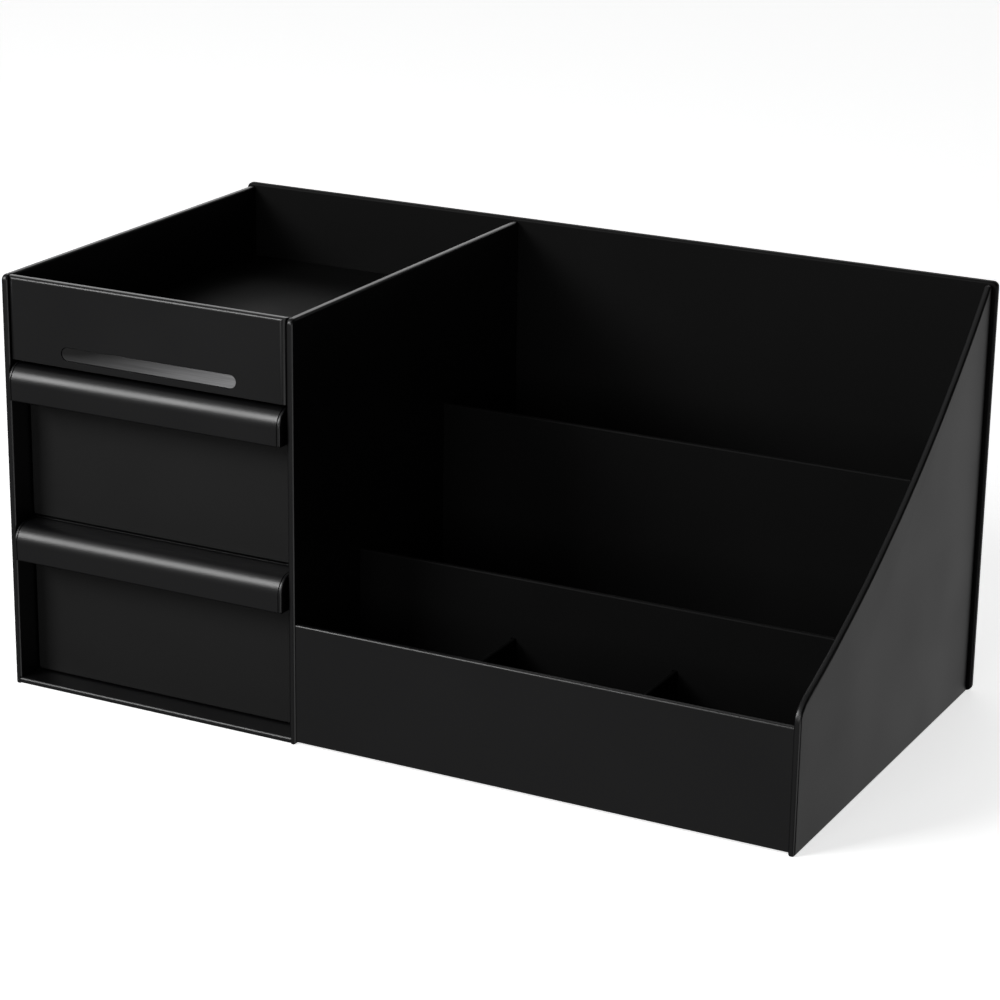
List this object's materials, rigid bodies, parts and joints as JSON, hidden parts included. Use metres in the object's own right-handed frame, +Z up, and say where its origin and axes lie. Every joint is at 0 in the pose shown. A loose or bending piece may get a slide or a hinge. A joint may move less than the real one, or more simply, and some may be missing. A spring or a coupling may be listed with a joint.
{
  "type": "bathroom organizer with drawers",
  "caption": "Countertop organizer: a drawer tower with hooded pulls and an open tray on top, beside a stepped rack of open compartments with a hollow sloping side.",
  "frame": {"origin": "middle of the bounding box at the base, on the surface the organizer stands on", "axes": "+X to the right along the front, +Y from the front to the back, +Z up"},
  "size_m": [0.3232, 0.1776, 0.1612],
  "materials": {
    "gloss_black": "polished",
    "satin_black": "satin",
    "grey_strip": "satin"
  },
  "bodies": {
    "cabinet": {"left_side_panel": "gloss_black", "centre_panel": "gloss_black", "right_side_panel": "gloss_black", "back_panel": "gloss_black", "tower_floor": "satin_black", "mid_shelf": "satin_black", "tray_floor": "satin_black", "fascia": "gloss_black", "fascia_strip": "grey_strip", "rack_floor": "satin_black", "rack_front_wall": "gloss_black", "front_divider": "gloss_black", "rear_divider": "gloss_black", "left_partition": "gloss_black", "right_partition": "gloss_black"},
    "upper_drawer": {"upper_drawer_tub": "satin_black", "upper_drawer_front": "gloss_black", "upper_drawer_handle": "gloss_black"},
    "lower_drawer": {"lower_drawer_tub": "satin_black", "lower_drawer_front": "gloss_black", "lower_drawer_handle": "gloss_black"}
  },
  "joints": [
    {"name": "upper_drawer_slide", "type": "slide", "parent": "cabinet", "child": "upper_drawer", "axis": [0, -1, 0], "range_m": [0, 0.13]},
    {"name": "lower_drawer_slide", "type": "slide", "parent": "cabinet", "child": "lower_drawer", "axis": [0, -1, 0], "range_m": [0, 0.13]}
  ]
}
